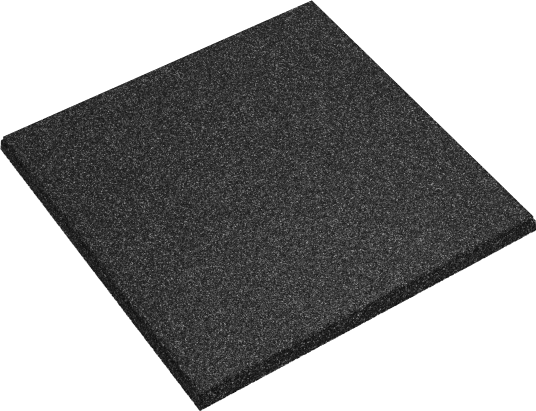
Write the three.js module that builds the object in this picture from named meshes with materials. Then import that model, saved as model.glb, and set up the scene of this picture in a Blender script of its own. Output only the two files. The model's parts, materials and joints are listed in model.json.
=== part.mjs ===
// Rubber safety tile: one square of black rubber granulate, bonded and pressed in a mould.
// Millimetres, +Z up. The origin is the middle of the underside, so the tile lies on z = 0.
// The tile is the same from all four sides: an edge that leans in to a narrow ledge, then an
// upright step up to the tread face.
import * as THREE from "three";

// Driving dimensions
const tileSide = 500; // across the underside, side to side
const thickness = 25; // underside to tread face
const ledgeHeight = 18; // underside to the ledge that runs round the tile
const sideLean = 1.8; // how far each edge leans in, from the underside to the ledge
const stepInset = 2.8; // width of the ledge
const footRounding = 0.6; // arris where the edge meets the underside
const ledgeRounding = 1.0; // outer arris of the ledge
const treadRounding = 2.0; // arris where the step meets the tread face
const cornerRadius = 1.5; // the four upright corners, seen from above
const cornerSteps = 3; // flats round each upright corner
const arrisSteps = 3; // flats round each arris

// Half the width of the tile at the levels where its edge changes
const footHalf = tileSide / 2;
const ledgeHalf = footHalf - sideLean;
const treadHalf = ledgeHalf - stepInset;

// How far the leaning edge has come in at a height above the underside
function leanAt(height) {
  return (sideLean * height) / ledgeHeight;
}

// The edge's section, from the underside up to the tread face: x is half the tile's width
// there, and y is the height.
function edgeSection() {
  const section = new THREE.Path();
  const sideTop = ledgeHeight - ledgeRounding;
  section.moveTo(footHalf - footRounding, 0);
  section.quadraticCurveTo(footHalf, 0, footHalf - leanAt(footRounding), footRounding);
  section.lineTo(footHalf - leanAt(sideTop), sideTop);
  section.quadraticCurveTo(ledgeHalf, ledgeHeight, ledgeHalf - ledgeRounding, ledgeHeight);
  section.lineTo(treadHalf, ledgeHeight);
  section.lineTo(treadHalf, thickness - treadRounding);
  section.quadraticCurveTo(treadHalf, thickness, treadHalf - treadRounding, thickness);
  return section.getPoints(arrisSteps);
}

// A square outline with rounded corners, counterclockwise from above
function outline(half) {
  const points = [];
  const centre = half - cornerRadius;
  for (let corner = 0; corner < 4; corner += 1) {
    const start = (corner * Math.PI) / 2;
    const middle = start + Math.PI / 4;
    const cornerX = Math.sign(Math.cos(middle)) * centre;
    const cornerY = Math.sign(Math.sin(middle)) * centre;
    for (let step = 0; step <= cornerSteps; step += 1) {
      const angle = start + ((step / cornerSteps) * Math.PI) / 2;
      const x = cornerX + cornerRadius * Math.cos(angle);
      const y = cornerY + cornerRadius * Math.sin(angle);
      points.push(new THREE.Vector2(x, y));
    }
  }
  return points;
}

// Closes a stack of outlines with walls between them, an underside and a tread face
function stackedSolid(levels) {
  const positions = [];
  const triangles = [];
  for (const level of levels) {
    for (const point of outline(level.x)) {
      positions.push(point.x, point.y, level.y);
    }
  }
  const around = positions.length / 3 / levels.length;
  const undersideCentre = positions.length / 3;
  const treadCentre = undersideCentre + 1;
  positions.push(0, 0, levels[0].y);
  positions.push(0, 0, levels[levels.length - 1].y);
  const topRing = (levels.length - 1) * around;
  for (let i = 0; i < around; i += 1) {
    const next = (i + 1) % around;
    triangles.push(undersideCentre, next, i);
    triangles.push(treadCentre, topRing + i, topRing + next);
    for (let ring = 0; ring < topRing; ring += around) {
      const above = ring + around;
      triangles.push(ring + i, ring + next, above + next);
      triangles.push(ring + i, above + next, above + i);
    }
  }
  const geometry = new THREE.BufferGeometry();
  geometry.setAttribute("position", new THREE.Float32BufferAttribute(positions, 3));
  geometry.setIndex(triangles);
  geometry.computeVertexNormals();
  return geometry;
}

// Black rubber granulate, dull, with a neutral charcoal colour
const granulate = new THREE.MeshStandardMaterial({
  color: 0x2b2b2c,
  roughness: 0.85,
  metalness: 0,
});

const rubberTile = new THREE.Mesh(stackedSolid(edgeSection()), granulate);
rubberTile.name = "rubber_tile";

const safetyTile = new THREE.Group();
safetyTile.add(rubberTile);

export default safetyTile;
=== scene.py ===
"""Rubber safety tile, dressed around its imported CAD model.

The tile is one pressed piece of black rubber crumb. Its body gets a grainy skin, and the crumbs
that show on the tread face and on the stepped edge are real chips, pressed flat against the walls
of the mould as the real ones are. Metres, +Z up, in the CAD model's frame.
"""

import json
import logging
import math
from collections.abc import Callable, Iterator
from contextlib import contextmanager
from dataclasses import dataclass, field
from enum import Enum, IntEnum

import bpy
import numpy as np
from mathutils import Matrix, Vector

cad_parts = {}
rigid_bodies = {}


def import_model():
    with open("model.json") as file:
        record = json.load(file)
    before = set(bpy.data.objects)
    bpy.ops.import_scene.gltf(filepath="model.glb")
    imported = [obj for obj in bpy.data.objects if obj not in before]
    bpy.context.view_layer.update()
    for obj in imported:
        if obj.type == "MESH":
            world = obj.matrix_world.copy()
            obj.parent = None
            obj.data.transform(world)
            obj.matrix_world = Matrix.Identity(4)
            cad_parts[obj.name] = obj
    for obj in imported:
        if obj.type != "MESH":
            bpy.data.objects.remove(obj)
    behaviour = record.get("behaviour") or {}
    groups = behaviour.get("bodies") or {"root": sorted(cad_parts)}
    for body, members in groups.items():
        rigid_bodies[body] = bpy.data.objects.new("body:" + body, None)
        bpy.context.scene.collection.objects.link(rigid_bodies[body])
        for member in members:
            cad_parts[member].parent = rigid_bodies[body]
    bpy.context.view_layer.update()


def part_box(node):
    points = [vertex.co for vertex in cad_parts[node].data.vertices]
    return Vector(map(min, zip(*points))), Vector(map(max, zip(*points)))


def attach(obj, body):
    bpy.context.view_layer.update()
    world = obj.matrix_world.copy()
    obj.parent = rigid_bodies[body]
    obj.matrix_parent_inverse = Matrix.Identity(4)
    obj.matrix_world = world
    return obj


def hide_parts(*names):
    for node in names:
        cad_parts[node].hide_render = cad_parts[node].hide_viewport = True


log = logging.getLogger("safety_tile")

CAD_NODE = "rubber_tile"
BODY = "root"
BAKE_MAP = "OFBake"
MM = 0.001
FACES_UP = 0.9

Colour = tuple[float, float, float, float]
Place = float | np.ndarray


def grey(level: float) -> Colour:
    """Gives a neutral colour of a linear level."""
    return (level, level, level, 1.0)


class Wire:
    """An output socket of a node, with the arithmetic that adds Math nodes."""

    def __init__(self, board: "NodeBoard", socket: bpy.types.NodeSocket) -> None:
        """Wraps a socket.

        Args:
            board: The node tree that the socket is in.
            socket: The output socket.
        """
        self.board = board
        self.socket = socket

    def _maths(self, operation: str, first: "Number", second: "Number" = 0.0) -> "Wire":
        """Adds a Math node and gives its output.

        Args:
            operation: The Math node's operation.
            first: Its first value or wire.
            second: Its second value or wire.

        Returns:
            The wire that carries the result.
        """
        made = self.board.node(
            "ShaderNodeMath", {"operation": operation}, {0: first, 1: second}
        )
        return self.board.out(made)

    def __add__(self, other: "Number") -> "Wire":
        """Adds a number or a wire."""
        return self._maths("ADD", self, other)

    __radd__ = __add__

    def __mul__(self, other: "Number") -> "Wire":
        """Multiplies by a number or a wire."""
        return self._maths("MULTIPLY", self, other)

    __rmul__ = __mul__

    def __pow__(self, other: "Number") -> "Wire":
        """Raises to a power."""
        return self._maths("POWER", self, other)

    def __abs__(self) -> "Wire":
        """Drops the sign."""
        return self._maths("ABSOLUTE", self)

    def most(self, other: "Number") -> "Wire":
        """Gives the larger of two."""
        return self._maths("MAXIMUM", self, other)


Number = float | Wire


class NodeBoard:
    """A node tree under construction."""

    def __init__(self, tree: bpy.types.NodeTree) -> None:
        """Starts on an empty tree.

        Args:
            tree: A material's or a Geometry Nodes tree.
        """
        self.tree = tree
        self.tree.nodes.clear()

    def node(
        self,
        kind: str,
        settings: dict[str, object] | None = None,
        inputs: dict[str | int, object] | None = None,
    ) -> bpy.types.Node:
        """Adds a node.

        Args:
            kind: The node's type name.
            settings: Its properties, set first.
            inputs: Values or wires for its sockets, by name or by number.

        Returns:
            The new node.
        """
        made = self.tree.nodes.new(kind)
        for name, value in (settings or {}).items():
            setattr(made, name, value)
        for key, value in (inputs or {}).items():
            if isinstance(value, Wire):
                self.tree.links.new(value.socket, made.inputs[key])
            else:
                made.inputs[key].default_value = value
        return made

    def out(self, made: bpy.types.Node, key: str | int = 0) -> Wire:
        """Gives one of a node's outputs, by name or by number."""
        return Wire(self, made.outputs[key])


@dataclass(frozen=True)
class CrumbFinish:
    """Black rubber crumb: dull flanks, glossier skins of binder, and a tone for each crumb. The
    spread of tones across crumbs and facets, and the fine speckle, are partly random tone and partly
    painted glints and painted shade in the base colour, for facets that catch the light and pits
    that lie in shade.
    """

    name: str
    dark: float = 0.002
    light: float = 0.345
    tone_power: float = 2.8
    tone_attributes: tuple[str, ...] = ()
    crumb_size: float = 1.9 * MM
    grain_size: float = 0.8 * MM
    # The speckle's spread and share: painted glints and painted shade that scale the base colour.
    speckle_spread: tuple[float, float] = (0.36, 0.64)
    speckle_share: float = 0.95
    grain_detail: float = 3.0
    roughness: tuple[float, float] = (0.45, 0.85)
    gloss_spread: tuple[float, float] = (0.35, 0.65)
    gloss_detail: float = 1.0
    index_of_refraction: float = 1.5
    bump_height: float = 0.3 * MM
    sheen_level: float = 0.12
    skin_share: tuple[float, float] = (0.55, 0.66)
    skin_roughness: float = 0.22

    def material(self) -> bpy.types.Material:
        """Builds the material.

        Returns:
            The finished material.
        """
        made = bpy.data.materials.new(self.name)
        made.use_nodes = True
        board = NodeBoard(made.node_tree)
        place = board.out(board.node("ShaderNodeTexCoord"), "Object")
        tone = self._tone(board, place)
        grain = self._noise(board, place, self.grain_size, self.grain_detail)
        # Painted glints and painted shade: a fine speckle that scales the base colour from near
        # black to nearly twice its tone.
        fine, coarse = self.speckle_spread
        speckle = board.node(
            "ShaderNodeMapRange",
            {"interpolation_type": "SMOOTHSTEP"},
            {
                "Value": grain,
                "From Min": fine,
                "From Max": coarse,
                "To Min": 1.0 - self.speckle_share,
                "To Max": 1.0 + self.speckle_share,
            },
        )
        shade = tone**self.tone_power * board.out(speckle)
        colour = board.node(
            "ShaderNodeMix",
            {"data_type": "RGBA"},
            {"Factor": shade, 6: grey(self.dark), 7: grey(self.light)},
        )
        patch = self._noise(board, place, self.crumb_size, self.gloss_detail)
        first, last = self.gloss_spread
        low, high = self.roughness
        gloss = board.node(
            "ShaderNodeMapRange",
            {"interpolation_type": "SMOOTHSTEP"},
            {"Value": patch, "From Min": first, "From Max": last, "To Min": low, "To Max": high},
        )
        bare, skinned = self.skin_share
        skin = board.node(
            "ShaderNodeMapRange", inputs={"Value": grain, "From Min": bare, "From Max": skinned}
        )
        bump = board.node(
            "ShaderNodeBump", inputs={"Strength": 1.0, "Distance": self.bump_height, "Height": grain}
        )
        surface = board.node(
            "ShaderNodeBsdfPrincipled",
            inputs={
                "Base Color": board.out(colour, 2),
                "Roughness": board.out(gloss),
                "Normal": board.out(bump),
                "IOR": self.index_of_refraction,
                "Specular IOR Level": self.sheen_level,
                "Coat Weight": board.out(skin),
                "Coat Roughness": self.skin_roughness,
            },
        )
        board.node("ShaderNodeOutputMaterial", inputs={"Surface": board.out(surface)})
        return made

    def _tone(self, board: NodeBoard, place: Wire) -> Wire:
        """Gives each crumb and each of its facets a tone, and multiplies the two: partly random tone
        and partly painted glints and painted shade.

        Args:
            board: The material's nodes.
            place: Object coordinates.

        Returns:
            The tone, from the mesh's own attributes or from cells of a crumb's size.
        """
        if self.tone_attributes:
            tones = [
                board.out(board.node("ShaderNodeAttribute", {"attribute_name": name}), "Fac")
                for name in self.tone_attributes
            ]
            return math.prod(tones[1:], start=tones[0])
        cells = board.node(
            "ShaderNodeTexVoronoi", inputs={"Vector": place, "Scale": 1.0 / self.crumb_size}
        )
        parts = board.node("ShaderNodeSeparateColor", inputs={0: board.out(cells, "Color")})
        return board.out(parts, 0) * board.out(parts, 1)

    @staticmethod
    def _noise(board: NodeBoard, place: Wire, size: float, detail: float) -> Wire:
        """Adds a noise of a given grain.

        Args:
            board: The material's nodes.
            place: Object coordinates.
            size: The grain's size in metres.
            detail: How many finer layers it has.

        Returns:
            The noise, from 0 to 1.
        """
        made = board.node(
            "ShaderNodeTexNoise", inputs={"Vector": place, "Scale": 1.0 / size, "Detail": detail}
        )
        return board.out(made)


@dataclass(frozen=True)
class FloorFinish:
    """A plain white table, lit from within so that it stays white round the tile."""

    name: str = "white_floor"
    level: float = 0.2
    glow: float = 1.0
    roughness: float = 0.9

    def material(self) -> bpy.types.Material:
        """Builds the material.

        Returns:
            The finished material.
        """
        made = bpy.data.materials.new(self.name)
        made.use_nodes = True
        board = NodeBoard(made.node_tree)
        surface = board.node(
            "ShaderNodeBsdfPrincipled",
            inputs={
                "Base Color": grey(self.level),
                "Roughness": self.roughness,
                "Emission Color": grey(1.0),
                "Emission Strength": self.glow,
            },
        )
        board.node("ShaderNodeOutputMaterial", inputs={"Surface": board.out(surface)})
        return made


def deselect_all() -> None:
    """Leaves nothing selected."""
    bpy.ops.object.select_all(action="DESELECT")


def activate(piece: bpy.types.Object) -> None:
    """Makes a piece the only selected object, and the active one."""
    deselect_all()
    piece.select_set(True)
    bpy.context.view_layer.objects.active = piece


@contextmanager
def edit_mode(piece: bpy.types.Object) -> Iterator[None]:
    """Works on a piece's faces in edit mode."""
    activate(piece)
    bpy.context.tool_settings.mesh_select_mode = (False, False, True)
    bpy.ops.object.mode_set(mode="EDIT")
    yield
    bpy.ops.object.mode_set(mode="OBJECT")


def select_faces(piece: bpy.types.Object, wanted: Callable[[bpy.types.MeshPolygon], bool]) -> None:
    """Selects the faces that a test picks, and nothing else.

    Args:
        piece: The piece, in object mode.
        wanted: The test.
    """
    for element in (*piece.data.vertices, *piece.data.edges):
        element.select = False
    for face in piece.data.polygons:
        face.select = wanted(face)


def apply_modifiers(piece: bpy.types.Object) -> None:
    """Applies all of a piece's modifiers, in order."""
    activate(piece)
    for modifier in list(piece.modifiers):
        bpy.ops.object.modifier_apply(modifier=modifier.name)


def discard(piece: bpy.types.Object) -> None:
    """Deletes a working object and its mesh."""
    mesh = piece.data
    bpy.data.objects.remove(piece)
    bpy.data.meshes.remove(mesh)


@dataclass(frozen=True)
class TileShape:
    """The tile's section, which the crumb's high spots touch.

    Attributes:
        mean_half: Half the CAD node's width.
        mean_thickness: The CAD node's thickness.
        proud: How far the high spots stand outside the foot's and the tread's mean lines.
        ledge_height: From the underside to the ledge.
        side_lean: How far each edge leans in, from the underside to the ledge.
        step_inset: The ledge's width, between its mean lines.
        tread_rounding: The radius of the tread's arris.
        ledge_rounding: The radius of the ledge's outer arris.
        corner_radius: The radius of the upright corners.
        map_spare: The rolled-out edge's width in the flat map, as a share of its real width.
    """

    mean_half: float
    mean_thickness: float
    proud: float = 0.35 * MM
    ledge_height: float = 18.0 * MM
    side_lean: float = 1.8 * MM
    step_inset: float = 2.8 * MM
    tread_rounding: float = 2.0 * MM
    ledge_rounding: float = 1.0 * MM
    corner_radius: float = 1.5 * MM
    map_spare: float = 1.1

    @classmethod
    def from_frame(cls) -> "TileShape":
        """Reads the overall size from the CAD node."""
        _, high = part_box(CAD_NODE)
        return cls(mean_half=high.x, mean_thickness=high.z)

    @property
    def thickness(self) -> float:
        """From the underside to the tread's high spots."""
        return self.mean_thickness + self.proud / 2

    @property
    def foot_half(self) -> float:
        """Half the tile's width at the underside."""
        return self.mean_half + self.proud

    @property
    def ledge_half(self) -> float:
        """Half the tile's width at the ledge's outer edge."""
        return self.mean_half - self.side_lean

    @property
    def tread_half(self) -> float:
        """Half the width of the tread face."""
        return self.ledge_half - self.step_inset + self.proud

    @property
    def arrises(self) -> tuple[tuple[float, float, float], ...]:
        """Each rounded arris: half the tile's width there, its height and its radius."""
        return (
            (self.tread_half, self.thickness, self.tread_rounding),
            (self.ledge_half, self.ledge_height, self.ledge_rounding),
        )

    def half_at(self, height: np.ndarray) -> np.ndarray:
        """Gives half the tile's width at heights from the underside up to the ledge."""
        lean = self.foot_half - self.ledge_half
        return self.foot_half - lean * np.clip(height / self.ledge_height, 0.0, 1.0)

    @property
    def unrolled_edge(self) -> float:
        """How wide the edge is when it is rolled out flat, with a little to spare."""
        return self.map_spare * (self.thickness + self.foot_half - self.tread_half)

    def blank(
        self,
        name: str,
        below: float,
        sunk: float = 0.0,
        tread_sunk: float = 0.0,
        notch_sunk: float = 0.0,
    ) -> bpy.types.Object:
        """Models the stepped block by hand, as large as the tile or a little inside it.

        Args:
            name: The object's name.
            below: How far it reaches below the underside, for the mould to press flat.
            sunk: How far its outer walls lie inside the tile's.
            tread_sunk: How far its top lies below the tread face.
            notch_sunk: How far its ledge and step lie inside the tile's.

        Returns:
            The block.
        """
        half = self.foot_half - sunk
        ledge = self.ledge_height - notch_sunk
        shrink = (self.ledge_half - sunk) / half
        deselect_all()
        bpy.ops.mesh.primitive_cube_add(
            size=1.0, location=(0, 0, ledge / 2), scale=(2 * half, 2 * half, ledge)
        )
        block = bpy.context.object
        block.name = name
        bpy.ops.object.transform_apply(location=True, rotation=False, scale=True)
        select_faces(block, lambda face: face.normal.z > FACES_UP)
        with edit_mode(block):
            bpy.ops.transform.resize(value=(shrink, shrink, 1.0), center_override=(0, 0, ledge))
            bpy.ops.mesh.inset(thickness=self.ledge_half - self.tread_half + notch_sunk - sunk)
            rise = self.thickness - tread_sunk - ledge
            bpy.ops.mesh.extrude_region_move(TRANSFORM_OT_translate={"value": (0, 0, rise)})
        select_faces(block, lambda face: face.normal.z < -FACES_UP)
        with edit_mode(block):
            bpy.ops.transform.translate(value=(0, 0, -below))
        return block


@dataclass(frozen=True)
class Mould:
    """The walls that the crumb is pressed against."""

    shape: TileShape
    tread_spring: float = 0.15
    wall_spring: float = 0.05
    most_proud: float = 0.3 * MM

    def press(self, piece: bpy.types.Object) -> None:
        """Pushes whatever stands out of the mould back to its walls, but for a little.

        Args:
            piece: The piece whose points are moved.
        """
        mesh = piece.data
        flat = np.empty(len(mesh.vertices) * 3, np.float32)
        mesh.vertices.foreach_get("co", flat)
        points = flat.reshape(-1, 3).astype(np.float64)
        shape = self.shape
        height = points[:, 2].copy()
        sideways = np.abs(points[:, :2])
        in_notch = (height > shape.ledge_height) & (sideways.max(1) > shape.tread_half)
        above_ledge = height - shape.ledge_height
        beside_step = sideways.max(1) - shape.tread_half
        to_step = in_notch & (beside_step < above_ledge)
        to_ledge = in_notch & ~to_step
        wall = np.where(to_step, shape.tread_half, shape.half_at(height))[:, None]
        pushed = np.minimum(sideways, wall) + self._left(sideways - wall, self.wall_spring)
        points[:, :2] = np.sign(points[:, :2]) * pushed
        lid = np.where(to_ledge, shape.ledge_height, shape.thickness)
        points[:, 2] = np.minimum(height, lid) + self._left(height - lid, self.tread_spring)
        points[:, 2] = np.maximum(points[:, 2], 0.0)
        self._round_arrises(points)
        mesh.vertices.foreach_set("co", points.astype(np.float32).ravel())
        mesh.update()

    def _round_arrises(self, points: np.ndarray) -> None:
        """Pulls points in to the rounded arrises and upright corners.

        Args:
            points: The points, one to a row, which are moved.
        """
        shape = self.shape
        side = np.sign(points[:, :2])
        out = np.abs(points[:, :2])
        for half, level, radius in shape.arrises:
            for axis in (0, 1):
                middle = half - radius, level - radius
                out[:, axis], points[:, 2] = self._pulled_in(
                    out[:, axis], points[:, 2], middle, radius
                )
        height = points[:, 2]
        on_step = height > shape.ledge_height + self.most_proud
        middle = np.where(on_step, shape.tread_half, shape.half_at(height)) - shape.corner_radius
        out = np.stack(self._pulled_in(*out.T, (middle, middle), shape.corner_radius), 1)
        points[:, :2] = side * out

    def _pulled_in(
        self,
        first: np.ndarray,
        second: np.ndarray,
        middle: tuple[Place, Place],
        radius: float,
    ) -> tuple[np.ndarray, np.ndarray]:
        """Gives places that lie inside a rounding, but for a little.

        Args:
            first: How far out each point is one way.
            second: How far out it is the other way.
            middle: Where the rounding's middle is, both ways.
            radius: The rounding's radius.

        Returns:
            The new places, both ways.
        """
        beside, above = first - middle[0], second - middle[1]
        reach = np.maximum(np.hypot(beside, above), radius)
        kept = (radius + self._left(reach - radius, self.wall_spring)) / reach
        kept = np.where((beside > 0) & (above > 0), kept, 1.0)
        return middle[0] + beside * kept, middle[1] + above * kept

    def _left(self, overrun: np.ndarray, spring: float) -> np.ndarray:
        """Gives how far a point stays proud of a wall that it overran.

        Args:
            overrun: How far it stood out, or a negative number.
            spring: The share of that which springs back.

        Returns:
            What is left of that, never below zero.
        """
        return np.clip(overrun * spring, 0.0, self.most_proud)


@dataclass
class TileBody:
    """The tile's bulk, which shows between the crumbs and on the underside."""

    shape: TileShape
    mould: Mould
    below: float = 3.0 * MM
    sunk: float = 0.2 * MM
    tread_sunk: float = 0.5 * MM
    notch_sunk: float = 1.2 * MM
    mesh_size: float = 3.0 * MM
    relief: float = 0.6 * MM
    relief_size: float = 2.2 * MM
    relief_middle: float = 0.6
    material: bpy.types.Material | None = None

    def build(self) -> bpy.types.Object:
        """Models the body.

        Returns:
            The finished piece.
        """
        piece = self.shape.blank(
            "granulate_body", self.below, self.sunk, self.tread_sunk, self.notch_sunk
        )
        remesh = piece.modifiers.new("even_mesh", "REMESH")
        remesh.mode = "VOXEL"
        remesh.voxel_size = self.mesh_size
        self._roughen(piece)
        apply_modifiers(piece)
        self.mould.press(piece)
        piece.data.materials.append(self.material)
        return piece

    def _roughen(self, piece: bpy.types.Object) -> None:
        """Adds the modifier that gives the body its grainy relief."""
        texture = bpy.data.textures.new("packed_crumb", "VORONOI")
        texture.noise_scale = self.relief_size
        displace = piece.modifiers.new("relief", "DISPLACE")
        displace.texture = texture
        displace.texture_coords = "LOCAL"
        displace.mid_level = self.relief_middle
        displace.strength = self.relief


class Region(Enum):
    """A stretch of the tile's surface that crumbs lie on."""

    TREAD = "tread"
    EDGE = "edge"


class Draw(IntEnum):
    """What each random draw of the scattering settles, and how far its seed is moved on."""

    DEPTH = 0
    GRADE = 1
    TURN = 2
    SIZE = 3
    CRUMB_TONE = 4
    FACET_TONE = 5


@dataclass(frozen=True)
class CrumbGrade:
    """One sieve grade of crumb on one region.

    Attributes:
        name: The piece's name.
        region: Where it lies.
        width: How wide its crumbs are, on average.
        share: Which of the region's shares of places it takes.
        shares: How many grades the region's places are shared among.
        sunk: How deep its crumbs' middles lie, as shares of its width.
    """

    name: str
    region: Region
    width: float
    share: int = 0
    shares: int = 1
    sunk: tuple[float, float] = (0.2, 0.55)


@dataclass(frozen=True)
class ChipCut:
    """The rough form of a chip.

    Attributes:
        sides: How many flanks it has.
        top_share: How wide its top is, as a share of its base. A pointed chip has 0.
    """

    sides: int
    top_share: float

    @property
    def reach(self) -> float:
        """From the middle of the base to a corner, for a base of one square metre."""
        wedge = math.sin(math.tau / self.sides) / 2
        return 1.0 / math.sqrt(self.sides * wedge)


@dataclass
class CrumbBed:
    """Chips of rubber, scattered over the tile's faces and pressed into the mould."""

    shape: TileShape
    mould: Mould
    materials: dict[Region, bpy.types.Material] = field(default_factory=dict)
    spacing: float = 1.42 * MM
    width_range: tuple[float, float] = (0.75, 1.25)
    tilt: float = 0.45
    # The facets' tones are painted glints and painted shade; the crumbs' tones are partly random
    # tone and partly painted glints and shade.
    crumb_tone: str = "crumb_tone"
    facet_tone: str = "facet_tone"
    crumb_tones: tuple[float, float] = (0.3, 1.0)
    facet_glint_tones: tuple[float, float] = (0.0, 1.0)
    seed: int = 11
    cuts: tuple[ChipCut, ...] = (
        ChipCut(3, 0.75),
        ChipCut(4, 0.65),
        ChipCut(5, 0.0),
        ChipCut(3, 0.6),
        ChipCut(4, 0.0),
        ChipCut(5, 0.0),
    )
    chip_height: float = 0.8
    raggedness: float = 0.16
    below: float = 1.0 * MM
    map_margin: float = 0.005
    seat_order: tuple[float, float, float] = (1.0, 3.0, 9.0)
    level_slack: float = 0.01 * MM
    most_places: float = 1e7
    chips: bpy.types.Collection | None = field(default=None, init=False)

    def cut_chips(self) -> None:
        """Models a handful of differently broken chips, each about one metre wide."""
        self.chips = bpy.data.collections.new("chips")
        bpy.context.scene.collection.children.link(self.chips)
        for number, cut in enumerate(self.cuts):
            chip = self._chip(number, cut)
            for holder in list(chip.users_collection):
                holder.objects.unlink(chip)
            self.chips.objects.link(chip)

    def _chip(self, number: int, cut: ChipCut) -> bpy.types.Object:
        """Breaks one chip.

        Args:
            number: Which chip, which also seeds its ragged edges.
            cut: Its rough form.

        Returns:
            The chip.
        """
        deselect_all()
        bpy.ops.mesh.primitive_cone_add(
            vertices=cut.sides,
            radius1=cut.reach,
            radius2=cut.reach * cut.top_share,
            depth=self.chip_height,
        )
        chip = bpy.context.object
        chip.name = f"chip_{number}"
        with edit_mode(chip):
            bpy.ops.mesh.select_all(action="SELECT")
            bpy.ops.transform.vertex_random(offset=self.raggedness, seed=number + 1)
            bpy.ops.mesh.quads_convert_to_tris()
        return chip

    def build(self, grade: CrumbGrade) -> bpy.types.Object:
        """Scatters one grade and presses it.

        Args:
            grade: The grade.

        Returns:
            The finished piece.
        """
        piece = self._seat(grade)
        scatter = piece.modifiers.new("scatter", "NODES")
        scatter.node_group = self._scattering(grade)
        apply_modifiers(piece)
        bpy.data.node_groups.remove(bpy.data.node_groups[grade.name])
        self.mould.press(piece)
        self._lay_out(piece, grade.region)
        piece.data.materials.clear()
        piece.data.materials.append(self.materials[grade.region])
        return piece

    def _seat(self, grade: CrumbGrade) -> bpy.types.Object:
        """Models the bare faces that a grade lies on.

        Args:
            grade: The grade.

        Returns:
            A mesh of those faces alone.
        """
        seat = self.shape.blank(grade.name, self.below)
        tread_level = self.shape.thickness - self.level_slack
        if grade.region is Region.TREAD:
            select_faces(seat, lambda face: face.center.z < tread_level)
        else:
            select_faces(
                seat, lambda face: face.center.z > tread_level or face.normal.z < -FACES_UP
            )
        with edit_mode(seat):
            bpy.ops.mesh.delete(type="FACE")
        return seat

    def _scattering(self, grade: CrumbGrade) -> bpy.types.NodeTree:
        """Builds the nodes that scatter one grade's chips.

        Args:
            grade: The grade.

        Returns:
            The node tree.
        """
        tree = bpy.data.node_groups.new(grade.name, "GeometryNodeTree")
        board = NodeBoard(tree)
        for way in ("INPUT", "OUTPUT"):
            tree.interface.new_socket("Geometry", in_out=way, socket_type="NodeSocketGeometry")
        faces = board.out(board.node("NodeGroupInput"))
        spread = board.node(
            "GeometryNodeDistributePointsOnFaces",
            {"distribute_method": "POISSON"},
            {
                "Mesh": self._in_fixed_order(board, faces),
                "Distance Min": self.spacing,
                "Density Max": self.most_places,
                "Seed": self.seed,
            },
        )
        depth = self._random(board, Draw.DEPTH, grade.sunk)
        inward = board.node(
            "ShaderNodeVectorMath",
            {"operation": "SCALE"},
            {0: board.out(spread, "Normal"), "Scale": depth * -grade.width},
        )
        sunk = board.node(
            "GeometryNodeSetPosition",
            inputs={"Geometry": board.out(spread, "Points"), "Offset": board.out(inward)},
        )
        chips = board.node(
            "GeometryNodeCollectionInfo",
            inputs={"Collection": self.chips, "Separate Children": True, "Reset Children": True},
        )
        laid = board.node(
            "GeometryNodeInstanceOnPoints",
            inputs={
                "Points": board.out(sunk),
                "Selection": self._taken(board, grade),
                "Instance": board.out(chips),
                "Pick Instance": True,
                "Rotation": self._turned(board, board.out(spread, "Rotation")),
                "Scale": self._sizes(board, grade.width),
            },
        )
        toned = board.node(
            "GeometryNodeStoreNamedAttribute",
            {"data_type": "FLOAT", "domain": "INSTANCE"},
            {
                "Geometry": board.out(laid),
                "Name": self.crumb_tone,
                "Value": self._random(board, Draw.CRUMB_TONE, self.crumb_tones),
            },
        )
        real = board.node("GeometryNodeRealizeInstances", inputs={0: board.out(toned)})
        # Each facet gets a random tone: painted glints and painted shade, for facets tilted towards
        # or away from the light.
        faceted = board.node(
            "GeometryNodeStoreNamedAttribute",
            {"data_type": "FLOAT", "domain": "FACE"},
            {
                "Geometry": self._outermost_last(board, board.out(real), grade.region),
                "Name": self.facet_tone,
                "Value": self._random(board, Draw.FACET_TONE, self.facet_glint_tones),
            },
        )
        board.node("NodeGroupOutput", inputs={0: board.out(faceted)})
        return tree

    def _in_fixed_order(self, board: NodeBoard, seat: Wire) -> Wire:
        """Orders a seat's faces by their place.

        An extrude makes its faces in an order that changes from run to run, and the scatter
        draws its random places face by face.

        Args:
            board: The scattering's nodes.
            seat: The bare faces.

        Returns:
            The sorted mesh, on which every run scatters the same chips.
        """
        place = board.out(board.node("GeometryNodeInputPosition"))
        parts = board.node("ShaderNodeSeparateXYZ", inputs={0: place})
        x, y, z = (board.out(parts, axis) * share for axis, share in zip("XYZ", self.seat_order))
        ordered = board.node(
            "GeometryNodeSortElements",
            {"domain": "FACE"},
            {"Geometry": seat, "Sort Weight": x + y + z},
        )
        return board.out(ordered)

    def _random(self, board: NodeBoard, draw: Draw, span: tuple[float, float]) -> Wire:
        """Gives a random number for each crumb, or for each face once they are realized.

        Args:
            board: The scattering's nodes.
            draw: What the number settles.
            span: The least and the most.

        Returns:
            The number.
        """
        low, high = span
        made = board.node(
            "FunctionNodeRandomValue",
            {"data_type": "FLOAT"},
            {2: low, 3: high, "Seed": self.seed + draw},
        )
        return board.out(made, 1)

    def _taken(self, board: NodeBoard, grade: CrumbGrade) -> Wire:
        """Picks the places that fall to a grade, out of those that its region shares.

        Args:
            board: The scattering's nodes.
            grade: The grade.

        Returns:
            True for each of its places.
        """
        drawn = board.node(
            "FunctionNodeRandomValue",
            {"data_type": "INT"},
            {4: 0, 5: grade.shares - 1, "Seed": self.seed + Draw.GRADE},
        )
        match = board.node(
            "FunctionNodeCompare",
            {"data_type": "INT", "operation": "EQUAL"},
            {2: board.out(drawn, 2), 3: grade.share},
        )
        return board.out(match)

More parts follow.
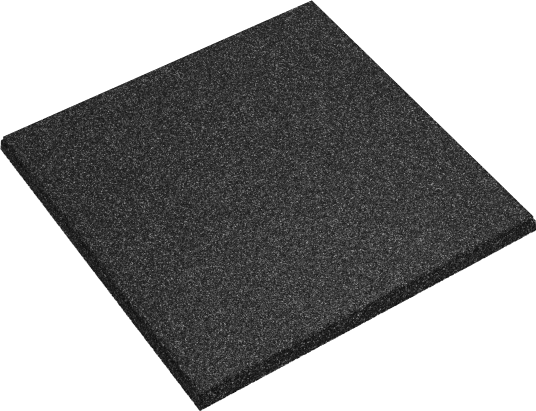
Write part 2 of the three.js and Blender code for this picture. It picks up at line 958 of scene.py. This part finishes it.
    def _turned(self, board: NodeBoard, upright: Wire) -> Wire:
        """Turns each crumb at random about the face's normal, and tilts it a little.

        Args:
            board: The scattering's nodes.
            upright: The rotation that stands a crumb on its face.

        Returns:
            The crumb's rotation.
        """
        angles = board.node(
            "FunctionNodeRandomValue",
            {"data_type": "FLOAT_VECTOR"},
            {
                0: (-self.tilt, -self.tilt, 0.0),
                1: (self.tilt, self.tilt, math.tau),
                "Seed": self.seed + Draw.TURN,
            },
        )
        turn = board.node("FunctionNodeEulerToRotation", inputs={0: board.out(angles)})
        both = board.node(
            "FunctionNodeRotateRotation",
            {"rotation_space": "LOCAL"},
            {0: upright, 1: board.out(turn)},
        )
        return board.out(both)

    def _sizes(self, board: NodeBoard, width: float) -> Wire:
        """Gives each crumb its own size along each axis.

        Args:
            board: The scattering's nodes.
            width: The grade's width.

        Returns:
            The scale.
        """
        low, high = self.width_range
        sizes = board.node(
            "FunctionNodeRandomValue",
            {"data_type": "FLOAT_VECTOR"},
            {0: (low * width,) * 3, 1: (high * width,) * 3, "Seed": self.seed + Draw.SIZE},
        )
        return board.out(sizes)

    def _outermost_last(self, board: NodeBoard, crumbs: Wire, region: Region) -> Wire:
        """Orders the faces from the buried to the outermost, as a bake through the flat map needs.

        Args:
            board: The scattering's nodes.
            crumbs: The realized chips.
            region: Where they lie.

        Returns:
            The sorted mesh.
        """
        place = board.out(board.node("GeometryNodeInputPosition"))
        parts = board.node("ShaderNodeSeparateXYZ", inputs={0: place})
        x, y, z = (board.out(parts, axis) for axis in "XYZ")
        outward = z if region is Region.TREAD else z + abs(x).most(abs(y))
        ordered = board.node(
            "GeometryNodeSortElements",
            {"domain": "FACE"},
            {"Geometry": crumbs, "Sort Weight": outward},
        )
        return board.out(ordered)

    def _lay_out(self, piece: bpy.types.Object, region: Region) -> None:
        """Maps a bed flat: the tread as seen from above, and the edge as four unrolled strips.

        Args:
            piece: The bed.
            region: Where it lies.
        """
        mesh = piece.data
        while mesh.uv_layers:
            mesh.uv_layers.remove(mesh.uv_layers[0])
        corners = len(mesh.loops)
        points = np.empty(len(mesh.vertices) * 3, np.float32)
        mesh.vertices.foreach_get("co", points)
        vertex = np.empty(corners, np.int32)
        mesh.loops.foreach_get("vertex_index", vertex)
        at = points.reshape(-1, 3)[vertex]
        reach = self.shape.foot_half * (1 + self.map_margin)
        if region is Region.TREAD:
            spread = at[:, :2] / reach
        else:
            middle = at.reshape(-1, 3, 3).mean(1).repeat(3, 0)
            on_x = np.abs(middle[:, 0]) > np.abs(middle[:, 1])
            ahead = np.where(on_x, middle[:, 0], middle[:, 1]) > 0
            along = np.where(on_x, at[:, 1], at[:, 0]) / reach
            across = np.abs(np.where(on_x, at[:, 0], at[:, 1]))
            unrolled = (at[:, 2] + self.shape.foot_half - across) / self.shape.unrolled_edge
            strip = on_x * 2 + ahead
            spread = np.stack([along, (strip + np.clip(unrolled, 0.0, 1.0)) / 2 - 1], 1)
        flat = (spread / 2 + 0.5).astype(np.float32)
        mesh.uv_layers.new(name=BAKE_MAP).uv.foreach_set("vector", flat.ravel())

    def clear_chips(self) -> None:
        """Deletes the chips that the beds were scattered from."""
        for chip in list(self.chips.objects):
            discard(chip)
        bpy.data.collections.remove(self.chips)


@dataclass(frozen=True)
class PhotoCamera:
    """The camera, where the photograph was taken from."""

    place: tuple[float, float, float] = (-0.7731, -1.1846, 1.5499)
    down: float = math.radians(48.213)
    right_turn: float = math.radians(33.425)
    lens: float = 109.16
    sensor_width: float = 36.0

    def build(self) -> bpy.types.Object:
        """Sets the camera up.

        Returns:
            The camera.
        """
        data = bpy.data.cameras.new("photo_camera")
        data.sensor_width = self.sensor_width
        data.lens = self.lens
        camera = bpy.data.objects.new("photo_camera", data)
        camera.location = self.place
        camera.rotation_euler = (math.pi / 2 - self.down, 0.0, -self.right_turn)
        bpy.context.scene.collection.objects.link(camera)
        bpy.context.scene.camera = camera
        return camera


@dataclass(frozen=True)
class SoftLamp:
    """A large soft box, aimed at the tile."""

    name: str
    place: tuple[float, float, float]
    size: tuple[float, float]
    watts: float

    def build(self) -> bpy.types.Object:
        """Sets the lamp up.

        Returns:
            The lamp.
        """
        data = bpy.data.lights.new(self.name, "AREA")
        data.shape = "RECTANGLE"
        data.size, data.size_y = self.size
        data.energy = self.watts
        lamp = bpy.data.objects.new(self.name, data)
        lamp.location = self.place
        lamp.rotation_euler = (-Vector(self.place)).to_track_quat("-Z", "Y").to_euler()
        lamp.visible_camera = False
        bpy.context.scene.collection.objects.link(lamp)
        return lamp


@dataclass(frozen=True)
class Studio:
    """A white table under soft light."""

    floor_size: float = 12.0
    floor_drop: float = 0.2 * MM
    sky_strength: float = 0.38
    pixel_blur: float = 1.15
    lamps: tuple[SoftLamp, ...] = (
        SoftLamp("front_box", (0.0, -0.45, 0.75), (0.4, 0.4), 2.7),
        SoftLamp("key_box", (0.5, 0.3, 1.4), (0.9, 0.9), 17.0),
    )

    def build(self) -> bpy.types.Object:
        """Sets up the table, the lamps and the sky.

        Returns:
            The table.
        """
        deselect_all()
        bpy.ops.mesh.primitive_plane_add(size=self.floor_size, location=(0, 0, -self.floor_drop))
        floor = bpy.context.object
        floor.name = "floor"
        floor.data.materials.append(FloorFinish().material())
        floor.visible_glossy = False
        floor.visible_diffuse = False
        for lamp in self.lamps:
            lamp.build()
        scene = bpy.context.scene
        scene.world = bpy.data.worlds.new("studio")
        scene.world.use_nodes = True
        sky = scene.world.node_tree.nodes["Background"]
        sky.inputs["Color"].default_value = grey(1.0)
        sky.inputs["Strength"].default_value = self.sky_strength
        scene.view_settings.view_transform = "Standard"
        scene.cycles.use_denoising = False
        scene.cycles.filter_width = self.pixel_blur
        return floor


def triangle_count(piece: bpy.types.Object) -> int:
    """Counts a piece's triangles."""
    return sum(len(face.vertices) - 2 for face in piece.data.polygons)


def main() -> None:
    """Builds the tile and its studio."""
    logging.basicConfig(level=logging.INFO, format="%(message)s")
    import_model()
    PhotoCamera().build()
    shape = TileShape.from_frame()
    mould = Mould(shape)
    bed = CrumbBed(shape, mould)
    tones = (bed.crumb_tone, bed.facet_tone)
    # The tread's finish: random tone, with painted glints and painted shade in its spread and
    # speckle.
    tread_finish = CrumbFinish("tread_crumb", tone_attributes=tones)
    # The edge's finish is a lighter, contrastier copy of the tread's: painted glints and painted
    # shade on the walls, which the soft light leaves too even.
    edge_painted_speckle = CrumbFinish("edge_crumb", light=0.62, tone_power=3.7, tone_attributes=tones)
    bed.materials = {Region.TREAD: tread_finish.material(), Region.EDGE: edge_painted_speckle.material()}
    # The body between the crumbs carries the same painted glints and painted shade, in finer cells.
    packed = CrumbFinish("packed_crumb", crumb_size=1.3 * MM)
    body = TileBody(shape, mould, material=packed.material()).build()
    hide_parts(CAD_NODE)
    bed.cut_chips()
    grades = (
        CrumbGrade("coarse_tread_crumb", Region.TREAD, 2.1 * MM, 0, 4),
        CrumbGrade("medium_tread_crumb", Region.TREAD, 1.9 * MM, 1, 4),
        CrumbGrade("small_tread_crumb", Region.TREAD, 1.7 * MM, 2, 4),
        CrumbGrade("fine_tread_crumb", Region.TREAD, 1.55 * MM, 3, 4),
        CrumbGrade("edge_crumb", Region.EDGE, 1.9 * MM, sunk=(0.05, 0.35)),
    )
    pieces = [body, *(bed.build(grade) for grade in grades)]
    bed.clear_chips()
    for piece in pieces:
        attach(piece, BODY)
        log.info("%s: %d triangles", piece.name, triangle_count(piece))
    Studio().build()


if __name__ == "__main__":
    main()
